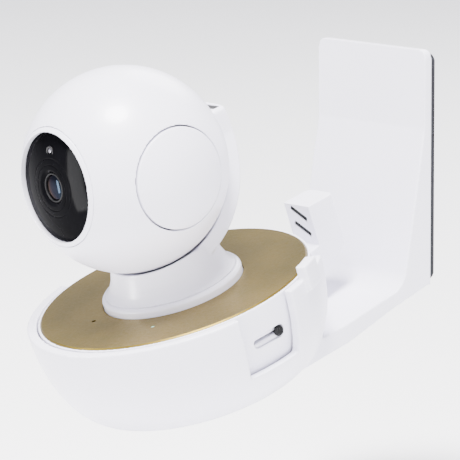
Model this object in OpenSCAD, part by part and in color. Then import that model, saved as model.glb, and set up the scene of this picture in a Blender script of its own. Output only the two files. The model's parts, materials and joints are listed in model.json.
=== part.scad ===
// Baby monitor camera: a pan and tilt ball camera seated in its adhesive wall mount.
// The wall is the plane y = 0, the camera looks towards -Y, and +Z is up.
// The origin is the centre of the adhesive pad's wall face.

/* [Wall mount] */
// Width of the wall plate
plate_w = 60; // [54:1:62]
// Height of the wall plate
plate_h = 83; // [80:1:90]
// Thickness of the plate along its top edge
plate_t = 3; // [2.5:0.5:4]
// Thickness of the adhesive foam pad
pad_t = 2; // [1:0.5:3]
// Forward lean of the cup's axis from the vertical
lean = 20; // [15:1:22]
// Outer radius of the cup's rim
cup_r = 53; // [53:0.5:55]
// Wall thickness of the cup
cup_wall = 3.4; // [3:0.1:3.4]
// Outside depth of the cup
cup_depth = 37; // [36:0.5:38]
// Distance from the plate's back to the cup's rim centre
reach = 90.6; // [90:0.2:92]

/* [Base] */
// Radius of the metallic base cover
cover_r = 48; // [47.6:0.1:48]
// Wall thickness of the base shell
shell_t = 2; // [1.6:0.2:2.4]
// Radius of the turntable
table_r = 25; // [23:0.5:26]

/* [Head] */
// Radius of the camera ball
ball_r = 35.8; // [35:0.2:36]
// Height of the ball's centre above the rim plane
ball_z = 47.6; // [47:0.2:49]
// Upward turn of the lens at rest
face_up = 12; // [5:1:14]
// Radius of the dark front window
window_r = 19.2; // [18:0.2:20]
// Radius of the round side caps
cap_r = 17.5; // [16:0.5:18]
// Width of the neck's top behind the ball
neck_w = 20; // [18:1:22]

/* [Hidden] */

$fn = 96;
eps = 0.01;
far = 200;
white = [0.94, 0.94, 0.96];
gold = [0.74, 0.66, 0.49];
black = [0.03, 0.03, 0.035];
board_green = [0.05, 0.28, 0.14];
steel = [0.7, 0.7, 0.72];
gear_white = [0.85, 0.85, 0.8];

// Gears: module 1, one pinion size for both drives
gear_m = 1;
pan_teeth = 32;
tilt_teeth = 24;
pinion_teeth = 12;
pressure = 25;
addendum = 0.8;
dedendum = 1.1;
backlash = 0.24;
flank_steps = 4;

// Bowl profile: a flat floor out to bowl_flat_r, then a quarter ellipse up to the rim
bowl_flat_r = 34;
bowl_steps = 14;
seat_gap = 0.6;
base_r = cup_r - cup_wall - seat_gap;
base_depth = cup_depth - 4.6;
cup_floor = cup_depth - 3.6;

// Angles round the cup, from +X towards the wall
notch_a = 13;
tab_a = 46;
notch_bottom = -23;
rear_bottom = -29.6;

// Plate and arm, in the side view
kink_z = plate_h / 6;
foot_t = 11.5;
foot_z = -plate_h / 2 + 3.5;
rim_z = -plate_h / 2 + 3.2;
rim_y = -pad_t - reach;
corner_r = 3;

// Base details
cover_top = 0.4;
cover_t = 1.8;
post_r = 3;
post_ring = 31;
post_a = [45, 135, 225, 315];
deck_z = -9.4;
deck_t = 2;
spigot_r = 10;
running = 0.05;
gear_t = 3;
pan_gear_z = -13.2;
pan_centre = gear_m * (pan_teeth + pinion_teeth) / 2;
board_z = -28.6;
board_t = 1.6;
socket_a = 118;
socket_z = -17;
button_a = 62;
button_z = -15;
switch_z = -12.5;
switch_len = 13.5;
switch_h = 4.6;
switch_off = 1.2;
switch_floor = 46.4;
knob_w = 3.8;
stem_w = 2;
stem_h = 0.8;
stem_slot = 1.1;
pod_front = 59;
pod_back = 71;
pod_half = 7;
pod_top = 5;
pod_wall = 1.4;
vent_z = [1.5, -4.3];
vent_w = 8.8;
vent_h = 2;
vent_slant = 28;

// Head details
ball_y = -4.7;
ball_t = 2.2;
ball_gap = 0.8;
neck_t = 5.2;
neck_inner_r = ball_r + ball_gap;
neck_outer_r = neck_inner_r + neck_t;
neck_top = 7;
neck_low = 45;
pocket_w = 15.2;
pocket_t = 2.7;
pocket_y = 37.2;
pocket_z = neck_top - 3.6;
neck_flare = 19;
neck_cover_t = 1.5;
neck_cover_w = 15;
neck_cover_a = [-57, 3];
neck_screw_a = [-33, -4];
table_top = 3.6;
tongue_w = 10;
tongue_a = -45;
tongue_half_a = 8;
tilt_up = 40;
tilt_down = 25;
hub_r = 5;
axle_r = 2;
axle_half = 30.5;
tilt_gear_x = 6.2;
tilt_centre = gear_m * (tilt_teeth + pinion_teeth) / 2;
tilt_motor_a = 62;
window_y = -ball_r * cos(32.4);
window_dome = 60;
cap_groove = 0.5;
bezel_r = window_r + 1.6;

// ---------- helpers ----------

// The seat frame: origin at the centre of the cup's rim plane, z along the cup's axis
module seated() {
    translate([0, rim_y, rim_z]) rotate([lean, 0, 0]) children();
}

module at_ball() {
    seated() translate([0, ball_y, ball_z]) children();
}

// The ball's own frame: its lens looks along -Y
module in_ball() {
    at_ball() rotate([-face_up, 0, 0]) children();
}

module around(angles, radius) {
    for (a = angles) rotate([0, 0, a]) translate([radius, 0, 0]) children();
}

module along_x(radius, length, x = 0) {
    translate([x, 0, 0]) rotate([0, 90, 0]) cylinder(r = radius, h = length);
}

// A cylinder from y back towards the ball's centre
module along_y(radius, length, y = 0) {
    translate([0, y, 0]) rotate([-90, 0, 0]) cylinder(r = radius, h = length);
}

function bowl_points(rim, depth, n = bowl_steps) = [
    for (i = [0:n]) let (a = 90 * i / n)
        [bowl_flat_r + (rim - bowl_flat_r) * cos(a), -depth * sin(a)]
];

function bowl_r(rim, depth, z) =
    bowl_flat_r + (rim - bowl_flat_r) * sqrt(1 - pow(z / depth, 2));

module bowl(rim, depth, top = 0) {
    rotate_extrude() polygon(concat([[0, top], [rim, top]], bowl_points(rim, depth), [[0, -depth]]));
}

// A wedge from angle a0 to a1, at most 170 degrees wide, whose flat outer sides lie past radius
module sector(a0, a1, radius, z0, z1) {
    mid = (a0 + a1) / 2;
    corner = radius / cos((a1 - a0) / 4);
    translate([0, 0, z0]) linear_extrude(z1 - z0) polygon(concat([[0, 0]],
        [for (a = [a0, mid, a1]) [corner * cos(a), corner * sin(a)]]));
}

module round_rect(w, h, r) {
    for (x = [-1, 1], y = [-1, 1])
        translate([x * (w / 2 - r), y * (h / 2 - r)]) circle(r = r, $fn = 32);
    square([w - 2 * r, h], center = true);
    square([w, h - 2 * r], center = true);
}

// Involute spur gear with backlash, centred on its axis
function inv(a) = tan(a) * 180 / PI - a;
function tooth_half(r, rp, rb) =
    (PI * gear_m / 2 - backlash) / (2 * rp) * 180 / PI + inv(pressure)
    - inv(acos(min(1, rb / r)));

module gear(teeth, thick, bore, turn = 0) {
    rp = gear_m * teeth / 2;
    rb = rp * cos(pressure);
    root = rp - dedendum * gear_m;
    tip = rp + addendum * gear_m;
    start = max(rb, root);
    flank = [for (i = [0:flank_steps]) start + (tip - start) * i / flank_steps];
    rotate([0, 0, turn]) linear_extrude(thick) difference() {
        union() {
            circle(r = root);
            for (k = [0:teeth - 1]) rotate(k * 360 / teeth) polygon(concat(
                [[root * cos(tooth_half(start, rp, rb)) - 0.2,
                    -root * sin(tooth_half(start, rp, rb))]],
                [for (r = flank) [r * cos(tooth_half(r, rp, rb)), -r * sin(tooth_half(r, rp, rb))]],
                [for (i = [flank_steps:-1:0]) let (r = flank[i])
                    [r * cos(tooth_half(r, rp, rb)), r * sin(tooth_half(r, rp, rb))]],
                [[root * cos(tooth_half(start, rp, rb)) - 0.2,
                    root * sin(tooth_half(start, rp, rb))]]));
        }
        circle(r = bore);
    }
}

module screw(head_r, head_h, shank_r, length) {
    difference() {
        cylinder(r = head_r, h = head_h, $fn = 32);
        translate([0, 0, -eps]) cylinder(r = head_r * 0.55, h = head_h * 0.6, $fn = 6);
    }
    translate([0, 0, head_h - eps]) cylinder(r = shank_r, h = length, $fn = 32);
}

// ---------- wall mount ----------

// Side view of the plate and its wedge-shaped foot, in the wall frame
module plate_profile() {
    polygon([[-pad_t, plate_h / 2], [-pad_t - plate_t, plate_h / 2], [-pad_t - plate_t, kink_z],
        [-pad_t - foot_t, foot_z], [-pad_t - foot_t, foot_z - 2.4],
        [-pad_t - 1.5, -plate_h / 2], [-pad_t, -plate_h / 2]]);
}

// Front view of the plate: only its top corners are rounded
module plate_outline() {
    translate([-plate_w / 2, -plate_h]) square([plate_w, 1.5 * plate_h - corner_r]);
    translate([-plate_w / 2 + corner_r, 0]) square([plate_w - 2 * corner_r, plate_h / 2]);
    for (x = [-1, 1]) translate([x * (plate_w / 2 - corner_r), plate_h / 2 - corner_r])
        circle(r = corner_r, $fn = 32);
}

module plate() {
    intersection() {
        rotate([90, 0, 90]) linear_extrude(plate_w + 2, center = true) plate_profile();
        translate([0, eps, 0]) rotate([90, 0, 0]) linear_extrude(2 * foot_t) plate_outline();
    }
}

// The arm carries on from the cup's floor and sweeps up into the plate's sloping front
arm_fillet = 10;
arm_top = -30;
arm_start_y = 20;
arm_side = 32.5;
arm_turn = atan2(kink_z - foot_z, foot_t - plate_t) - lean;
foot_seat_y = (reach - foot_t) * cos(lean) + (foot_z - rim_z) * sin(lean);
foot_seat_z = -(reach - foot_t) * sin(lean) + (foot_z - rim_z) * cos(lean);
arm_end_y = foot_seat_y - (foot_seat_z - arm_top) / tan(arm_turn);
corner_seat_y = reach * cos(lean) - (plate_h / 2 + rim_z) * sin(lean);
corner_seat_z = -reach * sin(lean) - (plate_h / 2 + rim_z) * cos(lean);
fillet_y = arm_end_y - arm_fillet * tan(arm_turn / 2);

module arm_profile() {
    polygon(concat(
        [[arm_start_y, arm_top]],
        [for (i = [0:6]) let (a = i * arm_turn / 6)
            [fillet_y + arm_fillet * sin(a), arm_top + arm_fillet * (1 - cos(a))]],
        [[corner_seat_y - 2, corner_seat_z + 8], [corner_seat_y - 1.6, corner_seat_z + 0.1], [44, -36.6],
            [arm_start_y, -36.9]]));
}

module arm() {
    intersection() {
        rotate([90, 0, 90]) linear_extrude(4 * plate_w, center = true) arm_profile();
        translate([0, 0, -60]) linear_extrude(80) polygon([[-plate_w / 2, arm_end_y + 20],
            [-plate_w / 2, arm_end_y - 6], [-arm_side, 42], [-arm_side, arm_start_y],
            [arm_side, arm_start_y], [arm_side, 42], [plate_w / 2, arm_end_y - 6],
            [plate_w / 2, arm_end_y + 20]]);
    }
}

// Front wall at full height, a notch on each side, two tall side tabs, and low at the rear
module cup_walls() {
    difference() {
        bowl(cup_r, cup_depth);
        bowl(base_r + seat_gap, cup_floor, 1);
        sector(-notch_a, notch_a, 2 * cup_r, notch_bottom, 5);
        sector(180 - notch_a, 180 + notch_a, 2 * cup_r, notch_bottom, 5);
        sector(tab_a, 180 - tab_a, 2 * cup_r, rear_bottom, 5);
    }
}

// Finger hook on the outside of a side tab's top
module finger_hook() {
    intersection() {
        rotate_extrude() translate([cup_r - 2, -4]) square([4, 9]);
        sector(notch_a + 9, notch_a + 19, 2 * cup_r, -5, 6);
    }
}

module wall_bracket() color(white) {
    difference() {
        union() {
            plate();
            seated() difference() {
                arm();
                bowl(base_r + seat_gap, cup_floor, 30);
            }
            seated() cup_walls();
        }
        seated() translate([0, 55, -60]) cylinder(r = 2.4, h = 60);
    }
    seated() for (side = [0, 1]) mirror([side, 0, 0]) finger_hook();
}

module adhesive_pad() color([0.22, 0.23, 0.26]) {
    rotate([90, 0, 0]) linear_extrude(pad_t) round_rect(plate_w - 0.8, plate_h - 3, corner_r);
}

// ---------- base ----------

module post_holes(radius, z, h) {
    around(post_a, post_ring) translate([0, 0, z]) cylinder(r = radius, h = h, $fn = 32);
}

module base_shell() color(white) seated() {
    floor_z = -base_depth + shell_t;
    difference() {
        bowl(base_r, base_depth);
        bowl(base_r - shell_t, base_depth - shell_t, 1);
        // screw wells and feet pockets
        post_holes(1.4, -base_depth - 1, 6);
        post_holes(2.8, -base_depth - 1, 2.3);
        around(post_a - [90, 90, 90, 90] / 2, 26) translate([0, 0, -base_depth - 1])
            cylinder(r = 4.1, h = 1.6, $fn = 48);
        // socket, pair button, switch slot and sensor duct
        rotate([0, 0, socket_a]) translate([30, 0, socket_z]) along_x(4.05, 30);
        rotate([0, 0, button_a]) translate([40, 0, button_z]) along_x(3.3, 30);
        at_switch() pill(switch_len, switch_h, 38, 58);
        translate([-4, 40, -19]) cube([8, 20, 5]);
        // seat of the metallic cover
        translate([0, 0, cover_top - cover_t]) cylinder(r = cover_r + 0.15, h = 5);
    }
    // board rests
    around([0, 90, 180, 270], 28) translate([0, 0, floor_z - 0.5])
        cylinder(r = 2.5, h = board_z - floor_z + 0.5, $fn = 32);
}

module base_top_cover() color(gold) seated() {
    difference() {
        union() {
            translate([0, 0, cover_top - cover_t]) cylinder(r = cover_r, h = cover_t - 0.4);
            translate([0, 0, cover_top - 0.4 - eps])
                cylinder(r1 = cover_r, r2 = cover_r - 0.4, h = 0.4 + eps);
        }
        translate([0, 0, -5]) cylinder(r = table_r + 0.35, h = 10);
        translate([-8, -30, -5]) cylinder(r = 0.8, h = 10, $fn = 24);
        translate([21, -26, -5]) cylinder(r = 0.75, h = 10, $fn = 24);
    }
    difference() {
        post_holes(post_r, -base_depth + shell_t + 0.1, base_depth - shell_t - cover_t + cover_top);
        post_holes(1.3, -base_depth, 14);
    }
}

module rubber_feet() color([0.12, 0.12, 0.13]) seated() {
    around(post_a - [90, 90, 90, 90] / 2, 26) translate([0, 0, -base_depth - 0.5]) {
        cylinder(r = 4, h = 1, $fn = 48);
        translate([0, 0, -0.3]) cylinder(r1 = 3.4, r2 = 4, h = 0.3 + eps, $fn = 48);
    }
}

module base_screws() color(steel) seated() {
    around(post_a, post_ring) translate([0, 0, -base_depth + 0.1]) screw(2.6, 1.1, 1.2, 9);
}

module main_board() color(board_green) seated() {
    translate([0, 0, board_z]) difference() {
        cylinder(r = 35.5, h = board_t);
        translate([0, 0, -1]) around(post_a, post_ring) cylinder(r = post_r + 0.4, h = 5, $fn = 32);
    }
    // shielded radio module, processor and connectors
    translate([5, 5, board_z + board_t - eps]) cube([13, 12, 2.4]);
    translate([-10, 14, board_z + board_t - eps]) cube([12, 12, 1.4]);
    translate([12, -12, board_z + board_t - eps]) cube([8, 5, 4]);
}

module speaker() color([0.15, 0.15, 0.16]) seated() translate([0, -25, board_z + board_t + 0.05]) {
    cylinder(r = 7, h = 3);
    translate([0, 0, 3 - eps]) cylinder(r = 9.5, h = 2.2);
    translate([0, 0, 5.2 - 2 * eps]) difference() {
        cylinder(r = 9.5, h = 0.8);
        translate([0, 0, 0.3]) cylinder(r1 = 3, r2 = 8.6, h = 0.6);
    }
}

module microphone() color(steel) seated() translate([-8, -30, cover_top - cover_t - 2.6]) {
    cylinder(r = 2.4, h = 2.55, $fn = 48);
}

module status_light() color([0.6, 0.85, 0.65]) seated() translate([21, -26, cover_top - cover_t]) {
    translate([0, 0, -3]) cylinder(r = 1, h = 2.95, $fn = 32);
    translate([0, 0, -0.1]) cylinder(r = 0.65, h = cover_t, $fn = 24);
}

module power_socket() color(black) seated() rotate([0, 0, socket_a]) translate([0, 0, socket_z]) {
    mouth = bowl_r(base_r, base_depth, socket_z) - 0.6;
    difference() {
        union() {
            along_x(4, mouth - 34, 34);
            translate([33, -4.5, -5]) cube([6.5, 9, 9.5]);
        }
        along_x(3.1, 20, 36);
    }
    along_x(0.7, mouth - 36, 35.5);
}

module pan_deck() color([0.8, 0.8, 0.82]) seated() {
    difference() {
        union() {
            translate([0, 0, deck_z]) cylinder(r = 35, h = deck_t);
            translate([0, 0, deck_z]) cylinder(r = 16, h = 6.4);
            for (y = [-1, 1]) translate([-pan_centre - 2, y * 12.2 - 1.6, -15.2])
                cube([4, 3.2, 6.4]);
        }
        translate([0, 0, deck_z - 1]) cylinder(r = 13, h = 10);
        post_holes(post_r + 0.1, deck_z - 1, 4);
        translate([-pan_centre, 0, deck_z - 1]) cylinder(r = 2, h = 4, $fn = 48);
    }
}

module pan_bearing() color([0.75, 0.6, 0.35]) seated() {
    translate([0, 0, deck_z]) difference() {
        cylinder(r = 13, h = 6.4);
        translate([0, 0, -1]) cylinder(r = spigot_r + running, h = 10);
    }
}

module pan_motor() color(steel) seated() translate([-pan_centre, 0, 0]) {
    difference() {
        union() {
            translate([0, 0, -26.6]) cylinder(r = 9, h = 10);
            translate([-4, -14, -16.7]) cube([8, 28, 1.5]);
        }
        translate([0, 0, -20]) cylinder(r = 1.25, h = 10, $fn = 48);
    }
}

// The pod behind the base that keeps the thermometer away from the warm electronics
module pod_form(inset = 0) {
    intersection() {
        rotate([90, 0, 90]) linear_extrude(2 * pod_half - 2 * inset, center = true) polygon([
            [pod_front + inset, pod_top - inset], [pod_back - inset, pod_top - inset],
            [pod_back - inset, -13 + inset / 2], [52, -26 + 1.6 * inset],
            [45, -25 + 1.6 * inset], [46, -12 - inset], [pod_front + inset, -10 - inset]]);
        translate([0, 0, -40]) linear_extrude(60) translate([0, 58]) {
            round_rect(2 * pod_half - 2 * inset, 26 - 2 * inset, 2.4 - inset / 2);
        }
    }
}

module at_vents() {
    for (z = vent_z) translate([0, pod_front, z]) rotate([0, vent_slant, 0]) children();
}

module sensor_pod() color(white) seated() {
    difference() {
        pod_form();
        pod_form(pod_wall);
        bowl(base_r + 0.05, base_depth + 0.05, 1);
        // slanted vents in the front face
        at_vents() translate([-vent_w / 2, -3, -vent_h / 2]) cube([vent_w, 5, vent_h]);
        translate([-4, 40, -19]) cube([8, 12, 5]);
    }
}

// A black mesh plate behind the vents, with a raised bar in each, keeps dust out of the pod
module dust_screen() color(black) seated() {
    screen_w = 2 * (pod_half - pod_wall) - 0.6;
    gap = 0.15;
    translate([-screen_w / 2, pod_front + pod_wall + 0.05, -8]) cube([screen_w, 0.6, 11.3]);
    at_vents() translate([gap - vent_w / 2, 0.4, gap - vent_h / 2])
        cube([vent_w - 2 * gap, pod_wall - 0.3, vent_h - 2 * gap]);
}

module temperature_sensor() color(board_green) seated() {
    translate([-4, 64, -6]) cube([8, 1.2, 9]);
    translate([-2, 62.6, -2]) cube([4, 1.5, 3]);
    translate([-4.5, 62.5, -10]) cube([9, 4, 4.1]);
}

// The switch's frame: x outwards through the middle of its recess
module at_switch() {
    rotate([0, 0, switch_off]) translate([0, 0, switch_z]) children();
}

// A bar with round ends along y, from x0 to x1
module pill(length, height, x0, x1) {
    translate([x0, 0, 0]) rotate([90, 0, 90]) linear_extrude(x1 - x0) {
        for (side = [-1, 1]) translate([side * (length - height) / 2, 0])
            circle(d = height, $fn = 48);
        square([length - height, height], center = true);
    }
}

// A box behind the wall, and a floor that closes the recess round the knob's stem
module switch_housing() color(white) seated() at_switch() {
    difference() {
        union() {
            translate([39, -switch_len / 2 - 1.2, -3.5]) cube([5.2, switch_len + 2.4, 7]);
            pill(switch_len - 0.1, switch_h - 0.1, 44, switch_floor);
        }
        translate([40, -switch_len / 2, -1.6]) cube([3.2, switch_len, 3.2]);
        translate([42, -knob_y - stem_w, -stem_slot / 2])
            cube([5, 2 * (knob_y + stem_w), stem_slot]);
    }
}

// Runs along the recess; at rest it is at the rear end
knob_y = (switch_len - switch_h) / 2;
module switch_knob() color(black) seated() at_switch() translate([0, knob_y, 0]) {
    translate([switch_floor + 0.3, 0, 0]) rotate([0, 90, 0])
        cylinder(d = knob_w, h = 1, $fn = 48);
    translate([42.6, -stem_w / 2, -stem_h / 2])
        cube([switch_floor - 42.6 + 0.3 + eps, stem_w, stem_h]);
    translate([41.4, -stem_w / 2, -1]) cube([1.2 + eps, stem_w, 2]);
    for (y = [-1, 0, 1]) translate([switch_floor + 1.3 - eps, y - 0.25, -1.3])
        cube([0.4, 0.5, 2.6]);
}

module pair_button() color([0.86, 0.87, 0.9]) seated() rotate([0, 0, button_a])
    translate([0, 0, button_z]) {
    skin = bowl_r(base_r, base_depth, button_z);
    along_x(3, skin - 42.4, 42.8);
    along_x(4.2, 1, 42.2);
}

// ---------- pan drive and turntable ----------

module pan_pinion() color(gear_white) seated() translate([-pan_centre, 0, pan_gear_z]) {
    gear(pinion_teeth, gear_t, 0.9);
    translate([0, 0, -3.4]) cylinder(r = 1.2, h = 8, $fn = 48);
}

module turntable() color(white) seated() {
    difference() {
        union() {
            translate([0, 0, -1]) cylinder(r = table_r, h = table_top);
            translate([0, 0, table_top - 1 - eps])
                cylinder(r1 = table_r, r2 = table_r - 1, h = 1 + eps);
            translate([0, 0, deck_z - 0.4]) cylinder(r = spigot_r, h = 10);
            translate([0, 0, pan_gear_z - 0.6]) cylinder(r = 6, h = 8);
        }
        translate([0, 0, pan_gear_z - 5]) cylinder(r = 3, h = 40);
    }
}

module pan_gear() color(gear_white) seated() translate([0, 0, pan_gear_z]) {
    gear(pan_teeth, gear_t, 6, 180 / pan_teeth);
}

// ---------- neck ----------

// Turned about the lens axis, or about the tilt axis, from an exact round outline
module lens_turned() {
    rotate([90, 0, 0]) rotate([0, 0, 45]) rotate_extrude() children();
}

module tilt_turned() {
    rotate([0, 90, 0]) rotate_extrude() children();
}

// A ring sector round the tilt axis: a0 to a1 from +Y upwards, r0 to r1, w wide
module arc_band(a0, a1, r0, r1, w) {
    intersection() {
        difference() {
            along_x(r1, w, -w / 2);
            along_x(r0, 2 * w, -w);
        }
        rotate([90, 0, 90]) sector(a0, a1, 2 * r1, -w, w);
    }
}

// A slice of the ball's concentric shells: r0 to r1, w wide along the tilt axis
module round_slice(r0, r1, w) {
    tilt_turned() intersection() {
        difference() {
            circle(r = r1);
            circle(r = r0);
        }
        translate([0, -w / 2]) square([far, w]);
    }
}

module ball_room(radius) {
    round_slice(0, radius, 2 * radius + 2);
}

// The part of a slice from angle a0 to a1 round the tilt axis
module round_band(a0, a1, r0, r1, w) {
    intersection() {
        round_slice(r0, r1, w);
        rotate([90, 0, 90]) sector(a0, a1, 2 * r1, -w, w);
    }
}

// Rear view of the neck, from its flared foot to its narrow top
module neck_outline() {
    half = neck_w / 2;
    polygon([[-neck_flare, -neck_low], [neck_flare, -neck_low], [neck_flare - 1.6, -29],
        [half + 3, -12], [half + 0.6, -2], [half, neck_top - 0.8], [half - 0.8, neck_top],
        [0.8 - half, neck_top], [-half, neck_top - 0.8], [-half - 0.6, -2], [-half - 3, -12],
        [1.6 - neck_flare, -29]]);
}

// The foot sweeps in from the turntable's edge towards the ball
module neck_foot() {
    rise = [0, 0.9, 2.6, 5.2, 8.6, 12.4];
    inset = [1.2, 2.4, 3.7, 4.9, 5.8, 6.4];
    rotate_extrude() polygon(concat([[0, table_top]],
        [for (i = [0:len(rise) - 1]) [table_r - inset[i], table_top + rise[i]]],
        [[0, table_top + rise[len(rise) - 1]]]));
}

module neck_screw_holes(radius, from, depth) {
    for (a = neck_screw_a) rotate([a, 0, 0]) translate([0, from, 0]) rotate([90, 0, 0])
        cylinder(r = radius, h = depth, $fn = 32);
}

module neck_shell() color(white) {
    seat_r = neck_outer_r - neck_cover_t;
    difference() {
        union() {
            seated() neck_foot();
            at_ball() intersection() {
                round_slice(neck_inner_r - 1, neck_outer_r, 2 * neck_outer_r + 2);
                translate([0, neck_outer_r + 1, 0]) rotate([90, 0, 0])
                    linear_extrude(neck_outer_r - 7) neck_outline();
            }
        }
        at_ball() ball_room(neck_inner_r);
        at_ball() round_band(neck_cover_a[0], neck_cover_a[1], seat_r, far, neck_cover_w);
        at_ball() rotate([tongue_a, 0, 0]) translate([-tongue_w / 2, 30, -5])
            cube([tongue_w, seat_r - 29, 10]);
        at_ball() neck_screw_holes(0.95, neck_outer_r, 3.9);
        // cable hole, and the cable's pocket in the top
        seated() cylinder(r = 3, h = 14);
        at_ball() translate([-pocket_w / 2, pocket_y, pocket_z]) cube([pocket_w, pocket_t, 5]);
    }
}

// Rubber plug that closes the pocket in the neck's top
module neck_plug() color(black) at_ball() {
    translate([0.1 - pocket_w / 2, pocket_y + 0.05, pocket_z + 0.05])
        cube([pocket_w - 0.2, pocket_t - 0.1, neck_top - pocket_z - 0.5]);
}

module neck_back_cover() color(white) at_ball() {
    difference() {
        round_band(neck_cover_a[0] + 0.3, neck_cover_a[1] - 0.3, neck_outer_r - neck_cover_t + 0.05,
            neck_outer_r, neck_cover_w - 0.4);
        neck_screw_holes(1.7, neck_outer_r + 1, 2);
        neck_screw_holes(1, neck_outer_r + 1, 4);
    }
}

module neck_screws() color(steel) at_ball() {
    for (a = neck_screw_a) rotate([a, 0, 0]) translate([0, neck_outer_r - 0.1, 0])
        rotate([90, 0, 0]) screw(1.6, 0.8, 0.9, 2.4);
}

// The fixed tongue that reaches through the ball's rear slot to the tilt axis
module tilt_bracket() color([0.8, 0.8, 0.82]) at_ball() {
    difference() {
        union() {
            along_x(hub_r, tongue_w, -tongue_w / 2);
            rotate([tongue_a, 0, 0]) translate([-tongue_w / 2 + 0.2, 0, -4.4])
                cube([tongue_w - 0.4, neck_outer_r - neck_cover_t - 0.7, 8.8]);
        }
        along_x(axle_r, 40, -20);
    }
}

module tilt_axle() color(steel) at_ball() {
    along_x(axle_r, 2 * axle_half, -axle_half);
}

module tilt_gear() color(gear_white) at_ball() translate([tilt_gear_x, 0, 0]) rotate([0, 90, 0])
    rotate([0, 0, 90 + tilt_motor_a - face_up]) gear(tilt_teeth, gear_t, axle_r, 180 / tilt_teeth);

// ---------- ball ----------

// The shell's outline from height z0 to z1, open inside the radius hole_r
module shell_outline(z0, z1, hole_r) {
    intersection() {
        difference() {
            circle(r = ball_r);
            circle(r = ball_r - ball_t);
        }
        translate([hole_r, z0]) square([far, z1 - z0]);
    }
}

module ball_cuts() {
    for (side = [0, 1]) mirror([side, 0, 0]) along_x(cap_r + cap_groove, 30, 20);
    // slot for the tongue, long enough for the whole tilt travel
    rotate([face_up, 0, 0]) arc_band(tongue_a - tongue_half_a - tilt_down,
        tongue_a + tongue_half_a + tilt_up, ball_r - 6, ball_r + 2, tongue_w + 1.2);
}

module front_shell() color(white) in_ball() {
    difference() {
        lens_turned() shell_outline(0.03, far, bezel_r + 0.1);
        ball_cuts();
    }
}

module rear_shell() color(white) in_ball() {
    difference() {
        lens_turned() shell_outline(-far, -0.03, 0);
        ball_cuts();
    }
}

module side_cap() {
    tilt_turned() {
        intersection() {
            difference() {
                circle(r = ball_r + 0.3);
                circle(r = ball_r - ball_t);
            }
            translate([0, 20]) square([cap_r, 30]);
        }
        translate([3.5, 25]) square([1.5, 7.5]);
        translate([0, 31]) square([5, 3]);
    }
}

module left_side_cap() color(white) in_ball() mirror([1, 0, 0]) side_cap();
module right_side_cap() color(white) in_ball() side_cap();

module tilt_bushes() color([0.75, 0.6, 0.35]) in_ball() for (side = [0, 1]) mirror([side, 0, 0])
    difference() {
        along_x(3.5, 5.5, 25.2);
        along_x(axle_r + running, 10, 22);
    }

module bezel_ring() color(white) in_ball() lens_turned() {
    intersection() {
        circle(r = ball_r);
        translate([window_r + 0.1, -window_y - 4.8]) square([bezel_r - window_r - 0.1, 6]);
    }
}

module face_window() color(black) in_ball() lens_turned() {
    intersection() {
        translate([0, -window_y + 1.2 - window_dome]) circle(r = window_dome, $fn = 360);
        translate([0, -window_y - 2]) square([window_r, 6]);
    }
}

module lens_barrel() color([0.1, 0.1, 0.11]) in_ball() {
    difference() {
        union() {
            along_y(7, 5, window_y + 2.4);
            along_y(8.6, 8, window_y + 7);
        }
        along_y(5.2, 4, window_y + 2);
        along_y(3, 30, window_y + 2);
    }
}

module lens_glass() color([0.25, 0.3, 0.42]) in_ball() {
    intersection() {
        along_y(5.1, 3.4, window_y + 2.5);
        translate([0, window_y + 2.6 + 9, 0]) sphere(r = 9);
    }
}

module lens_board() color(board_green) in_ball() {
    translate([-10, window_y + 15.1, -10]) cube([20, 1.2, 20]);
    translate([-4, window_y + 16.2, -8]) cube([8, 2, 5]);
}

module infrared_board() color(board_green) in_ball() {
    difference() {
        along_y(17.5, 1.2, window_y + 4.6);
        along_y(7.4, 10, window_y);
    }
}

led_ring = 12.6;
module infrared_leds() color([0.75, 0.72, 0.8]) in_ball() {
    // one place of eight, the top one, is the light sensor's
    for (a = [-45:45:225]) rotate([0, a, 0]) translate([led_ring, 0, 0])
        along_y(1.5, 2.2, window_y + 2.4, $fn = 32);
}

module light_sensor() color([0.85, 0.8, 0.6]) in_ball() translate([0, 0, led_ring]) {
    along_y(1.4, 2.2, window_y + 2.4, $fn = 32);
}

module at_tilt_pinion() {
    in_ball() rotate([tilt_motor_a, 0, 0]) translate([0, tilt_centre, 0]) children();
}

module tilt_motor() color(steel) at_tilt_pinion() {
    difference() {
        union() {
            along_x(7, 8.6, 10.6);
            along_x(4, 1.4, 9.8);
        }
        along_x(1.25, 6, 9);
    }
}

module tilt_pinion() color(gear_white) at_tilt_pinion() translate([tilt_gear_x, 0, 0]) {
    rotate([0, 90, 0]) rotate([0, 0, 90]) gear(pinion_teeth, gear_t, 0.9);
    along_x(1.2, 7, -0.2);
}

module ball_screws() color(steel) in_ball() {
    for (x = [-1, 1]) translate([x * 19, 0, -24]) rotate([90, 0, 0]) translate([0, 0, -6])
        screw(1.8, 1, 1, 8);
}

wall_bracket();
adhesive_pad();
base_shell();
base_top_cover();
rubber_feet();
base_screws();
main_board();
speaker();
microphone();
status_light();
power_socket();
pan_deck();
pan_bearing();
pan_motor();
sensor_pod();
dust_screen();
temperature_sensor();
switch_housing();
switch_knob();
pair_button();
pan_pinion();
turntable();
pan_gear();
neck_shell();
neck_back_cover();
neck_screws();
neck_plug();
tilt_bracket();
tilt_axle();
tilt_gear();
front_shell();
rear_shell();
left_side_cap();
right_side_cap();
tilt_bushes();
bezel_ring();
face_window();
lens_barrel();
lens_glass();
lens_board();
infrared_board();
infrared_leds();
light_sensor();
tilt_motor();
tilt_pinion();
ball_screws();
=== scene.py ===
"""Baby monitor camera in its wall mount: looks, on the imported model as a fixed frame."""

import json
import math

import bmesh
import bpy
from mathutils import Matrix, Vector


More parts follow.
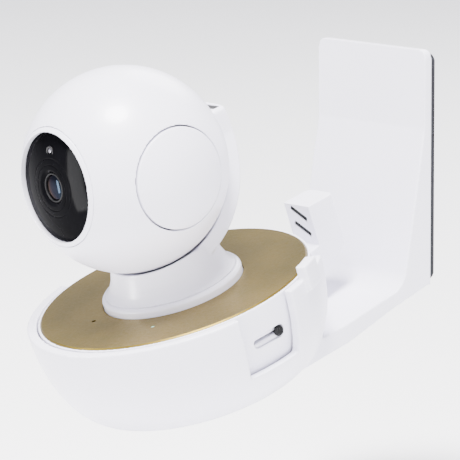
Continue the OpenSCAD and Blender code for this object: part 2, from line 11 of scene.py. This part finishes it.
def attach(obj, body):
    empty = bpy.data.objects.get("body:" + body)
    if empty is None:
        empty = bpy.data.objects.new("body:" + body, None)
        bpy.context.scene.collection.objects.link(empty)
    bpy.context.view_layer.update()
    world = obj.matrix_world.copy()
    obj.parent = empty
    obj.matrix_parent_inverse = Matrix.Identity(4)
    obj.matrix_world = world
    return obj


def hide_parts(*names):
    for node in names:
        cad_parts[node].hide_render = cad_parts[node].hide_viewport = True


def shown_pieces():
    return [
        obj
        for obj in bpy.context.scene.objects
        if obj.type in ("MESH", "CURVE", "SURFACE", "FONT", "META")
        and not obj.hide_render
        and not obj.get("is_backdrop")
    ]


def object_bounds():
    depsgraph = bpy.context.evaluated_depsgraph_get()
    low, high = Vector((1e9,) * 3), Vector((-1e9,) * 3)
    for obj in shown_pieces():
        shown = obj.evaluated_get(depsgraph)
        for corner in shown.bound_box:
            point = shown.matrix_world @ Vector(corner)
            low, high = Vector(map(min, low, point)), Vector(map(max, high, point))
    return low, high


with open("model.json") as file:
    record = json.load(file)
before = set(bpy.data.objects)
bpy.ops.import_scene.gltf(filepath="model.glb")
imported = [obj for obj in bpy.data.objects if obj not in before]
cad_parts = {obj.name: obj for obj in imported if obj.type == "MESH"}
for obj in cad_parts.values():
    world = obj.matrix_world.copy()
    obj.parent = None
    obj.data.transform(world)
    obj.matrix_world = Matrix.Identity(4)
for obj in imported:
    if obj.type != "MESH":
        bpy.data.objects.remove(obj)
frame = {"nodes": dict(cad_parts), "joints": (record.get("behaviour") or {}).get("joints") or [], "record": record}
CAD_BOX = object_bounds()
RECORD = frame["record"]
JOINTS = {j["name"]: j for j in frame["joints"]}
MM = 0.001

# ---------- the seat frame: origin at the cup's rim centre, z along the cup's axis ----------

SEAT_Z = Vector(JOINTS["pan"]["axis"]).normalized()
SEAT_X = Vector((1, 0, 0))
SEAT_Y = SEAT_Z.cross(SEAT_X)
SEAT_O = Vector(JOINTS["pan"]["pos_m"])
SEAT = Matrix((SEAT_X, SEAT_Y, SEAT_Z)).transposed().to_4x4()
SEAT.translation = SEAT_O
BALL_O = Vector(JOINTS["tilt"]["pos_m"])
BALL_R = 35.8 * MM
FACE_UP = math.radians(12)
BALL = SEAT.copy()
BALL.translation = BALL_O
BALL = BALL @ Matrix.Rotation(-FACE_UP, 4, "X")


# ---------- materials ----------

# noise lies mostly between these two values
NOISE_LOW, NOISE_HIGH = 0.3, 0.7


def material(name, color, rough, metallic=0.0, coat=0.0, ior=1.5):
    """A Principled material whose uniform values sit on the shader's own sockets."""
    m = bpy.data.materials.new(name)
    m.use_nodes = True
    p = m.node_tree.nodes["Principled BSDF"]
    p.inputs["Base Color"].default_value = (*color, 1)
    p.inputs["Roughness"].default_value = rough
    p.inputs["Metallic"].default_value = metallic
    p.inputs["Coat Weight"].default_value = coat
    p.inputs["IOR"].default_value = ior
    m.diffuse_color = (*color, 1)
    return m, m.node_tree, p


def noise(tree, scale, detail=4.0, rough=0.55, stretch=None):
    """3-D noise in object coordinates, where one unit is a metre."""
    coord = tree.nodes.new("ShaderNodeTexCoord")
    tex = tree.nodes.new("ShaderNodeTexNoise")
    tex.inputs["Scale"].default_value = scale
    tex.inputs["Detail"].default_value = detail
    tex.inputs["Roughness"].default_value = rough
    source = coord.outputs["Object"]
    if stretch:
        mapping = tree.nodes.new("ShaderNodeMapping")
        mapping.inputs["Scale"].default_value = stretch
        tree.links.new(source, mapping.inputs["Vector"])
        source = mapping.outputs["Vector"]
    tree.links.new(source, tex.inputs["Vector"])
    return tex.outputs["Fac"]


def spread(tree, fac, low, high):
    """Maps noise onto low to high."""
    r = tree.nodes.new("ShaderNodeMapRange")
    r.inputs["From Min"].default_value = NOISE_LOW
    r.inputs["From Max"].default_value = NOISE_HIGH
    r.inputs["To Min"].default_value = low
    r.inputs["To Max"].default_value = high
    tree.links.new(fac, r.inputs["Value"])
    return r.outputs["Result"]


def tint(tree, p, fac, dark, light):
    """Lets noise vary the base colour from dark to light."""
    ramp = tree.nodes.new("ShaderNodeValToRGB")
    ramp.color_ramp.elements[0].position = NOISE_LOW
    ramp.color_ramp.elements[0].color = (*dark, 1)
    ramp.color_ramp.elements[1].position = NOISE_HIGH
    ramp.color_ramp.elements[1].color = (*light, 1)
    tree.links.new(fac, ramp.inputs["Fac"])
    tree.links.new(ramp.outputs["Color"], p.inputs["Base Color"])


def bump(tree, p, heights, distance=0.0001):
    """Bumps from a list of (height, strength), chained."""
    normal = None
    for height, strength in heights:
        b = tree.nodes.new("ShaderNodeBump")
        b.inputs["Strength"].default_value = strength
        b.inputs["Distance"].default_value = distance
        tree.links.new(height, b.inputs["Height"])
        if normal:
            tree.links.new(normal, b.inputs["Normal"])
        normal = b.outputs["Normal"]
    tree.links.new(normal, p.inputs["Normal"])


def moulded_plastic(name, color, rough, grain=2600.0, depth=0.12, coat=0.0, vary=0.04, ior=1.5):
    """Injection-moulded plastic: fine spark texture, slow sheen changes and a faint tint."""
    m, t, p = material(name, color, rough, coat=coat, ior=ior)
    fine, slow, marks = noise(t, grain, 3), noise(t, 38, 2), noise(t, 210, 6, 0.7)
    tint(t, p, slow, [c * (1 - vary) for c in color], color)
    t.links.new(spread(t, marks, rough * 0.86, rough * 1.2), p.inputs["Roughness"])
    bump(t, p, [(fine, depth), (slow, 0.05)])
    return m


def metallic_cover(name):
    """Champagne metallic lacquer: flake and a soft brushed drift."""
    m, t, p = material(name, (0.20, 0.14, 0.03), 0.4, metallic=1.0)
    flake, drift = noise(t, 5200, 2, 0.8), noise(t, 26, 3)
    tint(t, p, drift, (0.15, 0.11, 0.020), (0.25, 0.175, 0.040))
    t.links.new(spread(t, noise(t, 900, 5, 0.7), 0.33, 0.46), p.inputs["Roughness"])
    bump(t, p, [(flake, 0.2), (drift, 0.05)], 0.00005)
    return m


def metal(name, color, rough, stretch):
    """Machined metal with fine lines, drawn out across the stretched axes."""
    m, t, p = material(name, color, rough, metallic=1.0)
    lines = noise(t, 900, 6, 0.7, stretch)
    t.links.new(spread(t, lines, rough * 0.7, rough * 1.4), p.inputs["Roughness"])
    tint(t, p, noise(t, 120, 4), [c * 0.85 for c in color], color)
    bump(t, p, [(lines, 0.15)])
    return m


def foam(name):
    """Near-black foam tape with open cells."""
    m, t, p = material(name, (0.010, 0.010, 0.014), 0.9)
    cell = t.nodes.new("ShaderNodeTexVoronoi")
    coord = t.nodes.new("ShaderNodeTexCoord")
    cell.inputs["Scale"].default_value = 2400
    t.links.new(coord.outputs["Object"], cell.inputs["Vector"])
    tint(t, p, noise(t, 700, 5), (0.006, 0.006, 0.009), (0.016, 0.016, 0.021))
    bump(t, p, [(cell.outputs["Distance"], 0.6), (noise(t, 300, 4), 0.3)], 0.0002)
    return m


def gloss_black(name):
    """Polished black window with faint smears."""
    m, t, p = material(name, (0.002, 0.002, 0.003), 0.08, ior=1.05)
    t.links.new(spread(t, noise(t, 260, 6, 0.7), 0.06, 0.12), p.inputs["Roughness"])
    tint(t, p, noise(t, 60, 2), (0.0015, 0.0015, 0.002), (0.004, 0.004, 0.005))
    bump(t, p, [(noise(t, 60, 1), 0.015)])
    return m


def coated_glass(name):
    """Dark lens glass under a thin coating."""
    m, t, p = material(name, (0.006, 0.006, 0.010), 0.02, ior=1.2)
    p.inputs["Thin Film Thickness"].default_value = 240
    p.inputs["Thin Film IOR"].default_value = 1.03
    tint(t, p, noise(t, 160, 2), (0.002, 0.002, 0.003), (0.005, 0.005, 0.008))
    bump(t, p, [(noise(t, 90, 1), 0.01)])
    return m


def circuit_board(name):
    """Green solder mask with copper tracks showing through, in a fine maze."""
    m, t, p = material(name, (0.015, 0.12, 0.05), 0.35, coat=0.3)
    brick = t.nodes.new("ShaderNodeTexBrick")
    coord = t.nodes.new("ShaderNodeTexCoord")
    brick.inputs["Scale"].default_value = 420
    brick.inputs["Mortar Size"].default_value = 0.03
    brick.inputs["Color1"].default_value = (0.012, 0.10, 0.04, 1)
    brick.inputs["Color2"].default_value = (0.016, 0.13, 0.055, 1)
    brick.inputs["Mortar"].default_value = (0.10, 0.26, 0.08, 1)
    t.links.new(coord.outputs["Object"], brick.inputs["Vector"])
    t.links.new(brick.outputs["Color"], p.inputs["Base Color"])
    bump(t, p, [(brick.outputs["Fac"], 0.2)])
    return m


def clear_part(name, color, rough=0.12):
    """Clear tinted plastic, as on a light pipe."""
    m, t, p = material(name, color, rough, coat=0.5)
    p.inputs["Transmission Weight"].default_value = 0.35
    tint(t, p, noise(t, 300, 3), [c * 0.8 for c in color], color)
    bump(t, p, [(noise(t, 500, 3), 0.05)])
    return m


WHITE = (0.82, 0.81, 0.905)
MATERIALS = {
    "white_plastic": moulded_plastic("white_plastic", WHITE, 0.33, coat=0.12, vary=0.02),
    "foam_tape": foam("foam_tape"),
    "gold_cover": metallic_cover("gold_cover"),
    "rubber": moulded_plastic("rubber", (0.02, 0.02, 0.022), 0.75, 1800, 0.4, vary=0.3),
    "screw_steel": metal("screw_steel", (0.62, 0.62, 0.64), 0.32, (1, 1, 6)),
    "motor_steel": metal("motor_steel", (0.5, 0.5, 0.53), 0.38, (6, 6, 1)),
    "circuit_board": circuit_board("circuit_board"),
    "dark_plastic": moulded_plastic("dark_plastic", (0.006, 0.006, 0.007), 0.5, 2200, 0.3,
                                    vary=0.3, ior=1.25),
    "light_pipe": clear_part("light_pipe", (0.45, 0.75, 0.52)),
    "inner_plastic": moulded_plastic("inner_plastic", (0.6, 0.6, 0.62), 0.5, 1800, 0.3, vary=0.06),
    "bush_bronze": metal("bush_bronze", (0.55, 0.36, 0.17), 0.45, (1, 1, 1)),
    "button_grey": moulded_plastic("button_grey", (0.46, 0.48, 0.52), 0.5, 2400, 0.3, vary=0.06),
    "gear_plastic": moulded_plastic("gear_plastic", (0.72, 0.70, 0.62), 0.42, 1600, 0.15, vary=0.05),
    "black_window": gloss_black("black_window"),
    "lens_coating": coated_glass("lens_coating"),
    "led_clear": clear_part("led_clear", (0.20, 0.19, 0.24)),
}
SLOT_OF = {s["node"]: s["material_slot"] for s in RECORD["subparts"]}
BODY_OF = {n: b for b, ns in RECORD["behaviour"]["bodies"].items() for n in ns}

for node_name, node_object in frame["nodes"].items():
    node_object.data.materials.clear()
    node_object.data.materials.append(MATERIALS[SLOT_OF[node_name]])


# ---------- mesh helpers ----------

WELD = 1e-6


def link(name, mesh, body, slot):
    """Adds a mesh as a piece that rides on a body, in a slot's material."""
    o = bpy.data.objects.new(name, mesh)
    bpy.context.scene.collection.objects.link(o)
    mesh.materials.clear()
    mesh.materials.append(MATERIALS[slot])
    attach(o, body)
    return o


def evaluated(obj, modifiers):
    """obj's mesh with a list of (type, settings) modifiers applied."""
    for kind, settings in modifiers:
        mod = obj.modifiers.new(kind, kind)
        for key, value in settings.items():
            setattr(mod, key, value)
    depsgraph = bpy.context.evaluated_depsgraph_get()
    return bpy.data.meshes.new_from_object(obj.evaluated_get(depsgraph))


def softened(name, nodes, voxel, rounds, shape=None):
    """A moulded skin in place of CAD nodes: the same shape with every edge rounded.

    voxel is the remesh size in metres, rounds how often it is smoothed, and shape a function
    that puts each vertex back on its true surface. No vertex leaves the CAD's box.
    """
    source = bpy.data.meshes.new(name + "_source")
    bm = bmesh.new()
    for node in nodes:
        bm.from_mesh(frame["nodes"][node].data)
    bmesh.ops.remove_doubles(bm, verts=bm.verts, dist=WELD)
    bm.to_mesh(source)
    bm.free()
    work = bpy.data.objects.new(name + "_work", source)
    bpy.context.scene.collection.objects.link(work)
    mesh = evaluated(work, [
        ("REMESH", {"mode": "VOXEL", "voxel_size": voxel, "use_smooth_shade": True}),
        ("SMOOTH", {"factor": 0.5, "iterations": rounds}),
    ])
    bpy.data.objects.remove(work)
    for v in mesh.vertices:
        on_surface = shape(v.co.copy()) if shape else v.co
        v.co = [min(max(c, low), high) for c, low, high in zip(on_surface, *CAD_BOX)]
    mesh.name = name
    piece = link(name, mesh, BODY_OF[nodes[0]], SLOT_OF[nodes[0]])
    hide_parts(*nodes)
    return piece


SKIN_SLACK = 0.25 * MM


def on_ball(p):
    """Puts a point that is nearly on the ball's outside exactly there."""
    d = p - BALL_O
    if abs(d.length - BALL_R) < SKIN_SLACK:
        return BALL_O + d * (BALL_R / d.length)
    return p


# ---------- skins ----------

# voxel sizes in metres
COARSE = 0.0005
FINE = 0.00035
DELICATE = 0.0002

softened("bracket_skin", ["wall_bracket"], COARSE, 3)
softened("base_shell_skin", ["base_shell"], FINE, 2)
softened("switch_floor_skin", ["switch_housing"], DELICATE * 1.5, 2)
softened("sensor_pod_skin", ["sensor_pod"], FINE * 0.6, 4)
softened("turntable_skin", ["turntable"], FINE, 4)
softened("neck_skin", ["neck_shell"], FINE, 6)
softened("neck_cover_skin", ["neck_back_cover"], FINE * 0.8, 3)
# the two halves of the ball meet in a joint too fine to see
softened("ball_skin", ["front_shell", "rear_shell"], FINE, 3, on_ball)
for cap_side in ("left", "right"):
    softened(cap_side + "_cap_skin", [cap_side + "_side_cap"], FINE * 0.8, 3)
softened("bezel_skin", ["bezel_ring"], FINE * 0.6, 2)
softened("foam_skin", ["adhesive_pad"], FINE, 3)
softened("knob_skin", ["switch_knob"], DELICATE * 0.9, 2)
softened("button_skin", ["pair_button"], DELICATE, 2)


# ---------- the face: black window, camera lens and light sensor ----------

# all in mm: radii from the lens axis, heights from the ball's centre plane
WINDOW_TOP = 31.43
WINDOW_DOME = 60.0
GLASS_BACK = 28.0
GLASS_EDGE = 19.1
MOUTH_R = 6.2
SEAT_R = 4.7
LENS_R = 4.55
SENSOR_Z = 12.6


def window_height(radius):
    """Distance of the window's domed front from the ball's centre plane."""
    return WINDOW_TOP - WINDOW_DOME + math.sqrt(WINDOW_DOME ** 2 - radius ** 2)


MOUTH_TOP = window_height(MOUTH_R)
SENSOR_TOP = window_height(SENSOR_Z)


def face_point(x, z, height):
    """A point given across, up and along the view direction, in the CAD frame."""
    return BALL @ (Vector((x, -height, z)) * MM)


def lathe(name, profile, slot, centre=(0.0, 0.0), steps=144):
    """Turns (radius, height) points about an axis along the view direction, on the ball."""
    bm = bmesh.new()
    rings = []
    for radius, height in profile:
        if radius == 0:
            rings.append([bm.verts.new(face_point(centre[0], centre[1], height))])
            continue
        rings.append([bm.verts.new(face_point(
            centre[0] + radius * math.cos(2 * math.pi * i / steps),
            centre[1] + radius * math.sin(2 * math.pi * i / steps), height)) for i in range(steps)])
    for a, b in zip(rings, rings[1:]):
        for i in range(steps):
            j = (i + 1) % steps
            corners = [a[i % len(a)], a[j % len(a)], b[j % len(b)], b[i % len(b)]]
            bm.faces.new(list(dict.fromkeys(corners)))
    bmesh.ops.recalc_face_normals(bm, faces=bm.faces)
    mesh = bpy.data.meshes.new(name)
    bm.to_mesh(mesh)
    bm.free()
    mesh.polygons.foreach_set("use_smooth", [True] * len(mesh.polygons))
    mesh.update()
    return link(name, mesh, "ball", slot)


def arc(radius_0, radius_1, steps):
    """Points on the window's dome from one radius to another."""
    radii = [radius_0 + (radius_1 - radius_0) * i / steps for i in range(steps + 1)]
    return [(q, window_height(q)) for q in radii]


def groove(radius, width, depth):
    """A soft ring-shaped groove in the dome, outer edge first."""
    half = width / 2
    return [(radius + half, window_height(radius + half)),
            (radius + half * 0.6, window_height(radius) - depth),
            (radius - half * 0.6, window_height(radius) - depth),
            (radius - half, window_height(radius - half))]


def make_window():
    """From the back plate's centre round the edge, over the grooves and into the lens recess."""
    profile = [(0, GLASS_BACK), (15.0, GLASS_BACK),
               (GLASS_EDGE, GLASS_BACK + 0.15), (GLASS_EDGE, GLASS_BACK + 0.25)]
    profile += arc(GLASS_EDGE - 0.1, 10.6, 12)
    profile += groove(10.2, 0.5, 0.12)
    profile += arc(9.8, 8.3, 3)
    profile += groove(8.0, 0.4, 0.18)
    profile += arc(7.7, MOUTH_R + 0.25, 3)
    profile += [(MOUTH_R, MOUTH_TOP - 0.08), (5.9, MOUTH_TOP - 0.5), (5.5, MOUTH_TOP - 0.62),
                (5.3, MOUTH_TOP - 1.1), (SEAT_R, MOUTH_TOP - 1.25),
                (SEAT_R - 0.1, MOUTH_TOP - 1.7), (0, MOUTH_TOP - 1.75)]
    window = lathe("window_glass", profile, "black_window")
    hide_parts("face_window")


def make_lens():
    foot, bulge = MOUTH_TOP - 1.72, 1.25
    angles = [math.radians(5 * i) for i in range(19)]
    lathe("lens_dome", [(LENS_R * math.sin(a), foot + bulge * math.cos(a)) for a in angles],
          "lens_coating")
    ring = [(5.2, MOUTH_TOP - 1.1), (5.0, MOUTH_TOP - 0.78), (4.75, MOUTH_TOP - 0.72),
            (4.6, MOUTH_TOP - 0.95), (LENS_R, MOUTH_TOP - 1.4)]
    lathe("lens_trim_ring", ring, "dark_plastic")


def make_light_sensor():
    centre, steps = (0, SENSOR_Z), 48
    rim = [(1.9, SENSOR_TOP - 0.3), (1.85, SENSOR_TOP + 0.08), (1.6, SENSOR_TOP + 0.14),
           (1.3, SENSOR_TOP + 0.05), (1.1, SENSOR_TOP - 0.25)]
    lathe("sensor_rim", rim, "dark_plastic", centre, steps)
    dome = [(0, SENSOR_TOP + 0.14), (0.4, SENSOR_TOP + 0.11), (0.75, SENSOR_TOP),
            (1.0, SENSOR_TOP - 0.15), (1.08, SENSOR_TOP - 0.28)]
    lathe("sensor_dome", dome, "led_clear", centre, steps)


make_window()
make_lens()
make_light_sensor()


# ---------- stage ----------

FLOOR_DROP = 0.035
FLOOR_HALF = 14.0


def make_stage():
    """A pale floor below the part, and a plain soft sky."""
    floor_mat, tree, p = material("floor_paint", (0.92, 0.92, 0.925), 0.8)
    tint(tree, p, noise(tree, 3.0, 2), (0.91, 0.91, 0.916), (0.93, 0.93, 0.934))
    p.inputs["Emission Color"].default_value = (1, 1, 1, 1)
    p.inputs["Emission Strength"].default_value = 0.45
    z, s = CAD_BOX[0].z - FLOOR_DROP, FLOOR_HALF
    mesh = bpy.data.meshes.new("floor")
    mesh.from_pydata([(-s, -s, z), (s, -s, z), (s, s, z), (-s, s, z)], [], [(0, 1, 2, 3)])
    mesh.materials.append(floor_mat)
    floor = bpy.data.objects.new("floor", mesh)
    bpy.context.scene.collection.objects.link(floor)
    floor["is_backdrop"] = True
    world = bpy.data.worlds.new("studio")
    bpy.context.scene.world = world
    world.use_nodes = True
    background = world.node_tree.nodes["Background"]
    background.inputs["Color"].default_value = (0.90, 0.90, 1.0, 1)
    background.inputs["Strength"].default_value = 1.25


def towards(azimuth, elevation):
    """Unit vector from the part to a viewpoint; azimuth 0 is straight in front."""
    a, e = math.radians(azimuth), math.radians(elevation)
    return Vector((math.sin(a) * math.cos(e), -math.cos(a) * math.cos(e), math.sin(e)))


def place(obj, target, back, distance):
    """Puts a light or camera at a distance from the target and turns it to face it."""
    obj.location = target + back * distance
    obj.rotation_mode = "QUATERNION"
    obj.rotation_quaternion = (-back).to_track_quat("-Z", "Y")


def area_light(name, azimuth, elevation, distance, size, watts, target, color=(1, 1, 1)):
    """A disk-shaped soft light that the camera doesn't see."""
    data = bpy.data.lights.new(name, "AREA")
    data.shape = "DISK"
    data.size = size
    data.energy = watts
    data.color = color
    o = bpy.data.objects.new(name, data)
    bpy.context.scene.collection.objects.link(o)
    place(o, target, towards(azimuth, elevation), distance)
    o.visible_camera = False
    return o


VIEW_AZIMUTH, VIEW_ELEVATION = 52.6, 7.7
LENS, SENSOR = 400.0, 36.0
FRAME_FILL = 0.90


def make_camera():
    """A long lens at the viewing angle, backed off until the part fills the frame."""
    data = bpy.data.cameras.new("camera")
    data.lens, data.sensor_width = LENS, SENSOR
    o = bpy.data.objects.new("camera", data)
    bpy.context.scene.collection.objects.link(o)
    back = towards(VIEW_AZIMUTH, VIEW_ELEVATION)
    turn = math.radians(VIEW_AZIMUTH)
    right = Vector((math.cos(turn), math.sin(turn), 0))
    up = back.cross(right)
    verts = [v.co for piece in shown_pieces() for v in piece.data.vertices]
    xs, ys = [v.dot(right) for v in verts], [v.dot(up) for v in verts]
    depth = sum(v.dot(back) for v in verts) / len(verts)
    centre = right * (min(xs) + max(xs)) / 2 + up * (min(ys) + max(ys)) / 2 + back * depth
    wide = max(max(xs) - min(xs), max(ys) - min(ys)) / FRAME_FILL
    distance = wide / 2 / (SENSOR / 2 / LENS)
    place(o, centre, back, distance)
    data.clip_start, data.clip_end = 0.05, 60
    bpy.context.scene.camera = o
    return centre


make_stage()
TARGET = make_camera()
area_light("key", 30, 68, 1.5, 0.6, 125, TARGET, (1.0, 0.985, 0.965))
area_light("fill", 100, 15, 1.8, 1.4, 8, TARGET, (0.90, 0.90, 1.0))
area_light("back", 215, 40, 1.8, 1.0, 24, TARGET)

# a small card that only shows as a soft reflection near the window's edge
face_centre = BALL @ Vector((0, -30 * MM, 0))
card = area_light("face_card", -27, -13, 0.2, 0.05, 1.2, face_centre)
card.data.shape = "RECTANGLE"
card.data.size_y = 0.13  # its height; its width is 0.05
card.visible_diffuse = False
card.visible_transmission = False
